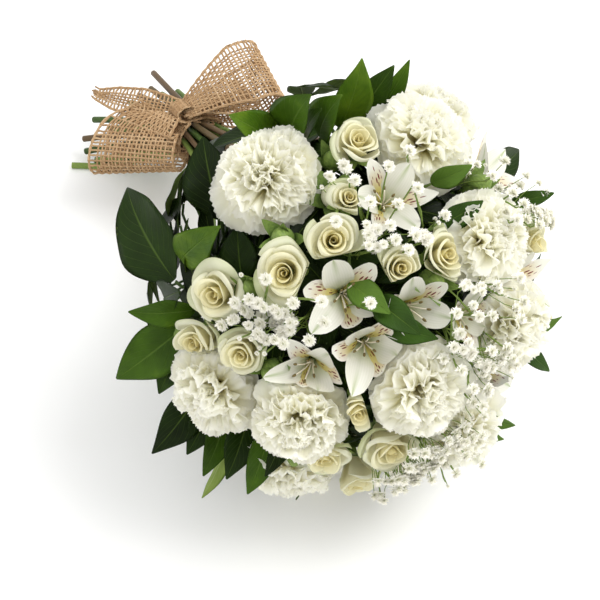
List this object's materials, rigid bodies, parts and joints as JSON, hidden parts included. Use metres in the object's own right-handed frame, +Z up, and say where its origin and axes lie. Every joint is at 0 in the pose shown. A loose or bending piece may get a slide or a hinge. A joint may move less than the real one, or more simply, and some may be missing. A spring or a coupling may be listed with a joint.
{
  "type": "bunch of carnations",
  "caption": "Hand-tied bunch of white carnations with spray roses, alstroemerias, gypsophila and leaves, lying on its side and tied with a jute ribbon bow.",
  "frame": {"origin": "on the table, under the middle of the lying bunch's outline", "axes": "+X along the bunch from the cut stem ends towards the flower heads, +Z up from the table, +Y across"},
  "size_m": [0.4908, 0.316, 0.2908],
  "materials": {
    "carnation_petal": "soft matt petals",
    "carnation_green": "waxy grey-green stem",
    "rose_petal": "soft satin petals",
    "rose_green": "satin green stem and leaf",
    "alstroemeria_petal": "smooth satin tepals on green stalks",
    "gypsophila_floret": "soft matt florets on thin green stalks",
    "broad_leaf": "satin leaf with a paler vein",
    "jute": "open plain weave, matt and hairy"
  },
  "bodies": {
    "root": {"carnation_bloom_01": "carnation_petal", "carnation_stem_01": "carnation_green", "carnation_bloom_02": "carnation_petal", "carnation_stem_02": "carnation_green", "carnation_bloom_03": "carnation_petal", "carnation_stem_03": "carnation_green", "carnation_bloom_04": "carnation_petal", "carnation_stem_04": "carnation_green", "carnation_bloom_05": "carnation_petal", "carnation_stem_05": "carnation_green", "carnation_bloom_06": "carnation_petal", "carnation_stem_06": "carnation_green", "carnation_bloom_07": "carnation_petal", "carnation_stem_07": "carnation_green", "carnation_bloom_08": "carnation_petal", "carnation_stem_08": "carnation_green", "carnation_bloom_09": "carnation_petal", "carnation_stem_09": "carnation_green", "carnation_bloom_10": "carnation_petal", "carnation_stem_10": "carnation_green", "carnation_bloom_11": "carnation_petal", "carnation_stem_11": "carnation_green", "carnation_bloom_12": "carnation_petal", "carnation_stem_12": "carnation_green", "rose_bloom_01": "rose_petal", "rose_bloom_02": "rose_petal", "rose_bloom_03": "rose_petal", "rose_bloom_04": "rose_petal", "rose_bloom_05": "rose_petal", "rose_bloom_06": "rose_petal", "rose_bloom_07": "rose_petal", "rose_bloom_08": "rose_petal", "rose_bloom_09": "rose_petal", "rose_bloom_10": "rose_petal", "rose_bloom_11": "rose_petal", "rose_bloom_12": "rose_petal", "rose_bloom_13": "rose_petal", "rose_bloom_14": "rose_petal", "rose_bloom_15": "rose_petal", "rose_bloom_16": "rose_petal", "rose_spray_1": "rose_green", "rose_spray_2": "rose_green", "rose_spray_3": "rose_green", "rose_spray_4": "rose_green", "alstroemeria_spray_1": "alstroemeria_petal", "gypsophila_spray_1": "gypsophila_floret", "foliage_sprig_1": "broad_leaf", "alstroemeria_spray_2": "alstroemeria_petal", "gypsophila_spray_2": "gypsophila_floret", "foliage_sprig_2": "broad_leaf", "alstroemeria_spray_3": "alstroemeria_petal", "gypsophila_spray_3": "gypsophila_floret", "foliage_sprig_3": "broad_leaf", "alstroemeria_spray_4": "alstroemeria_petal", "gypsophila_spray_4": "gypsophila_floret", "foliage_sprig_4": "broad_leaf", "alstroemeria_spray_5": "alstroemeria_petal", "gypsophila_spray_5": "gypsophila_floret", "foliage_sprig_5": "broad_leaf", "jute_ribbon": "jute"}
  },
  "joints": []
}
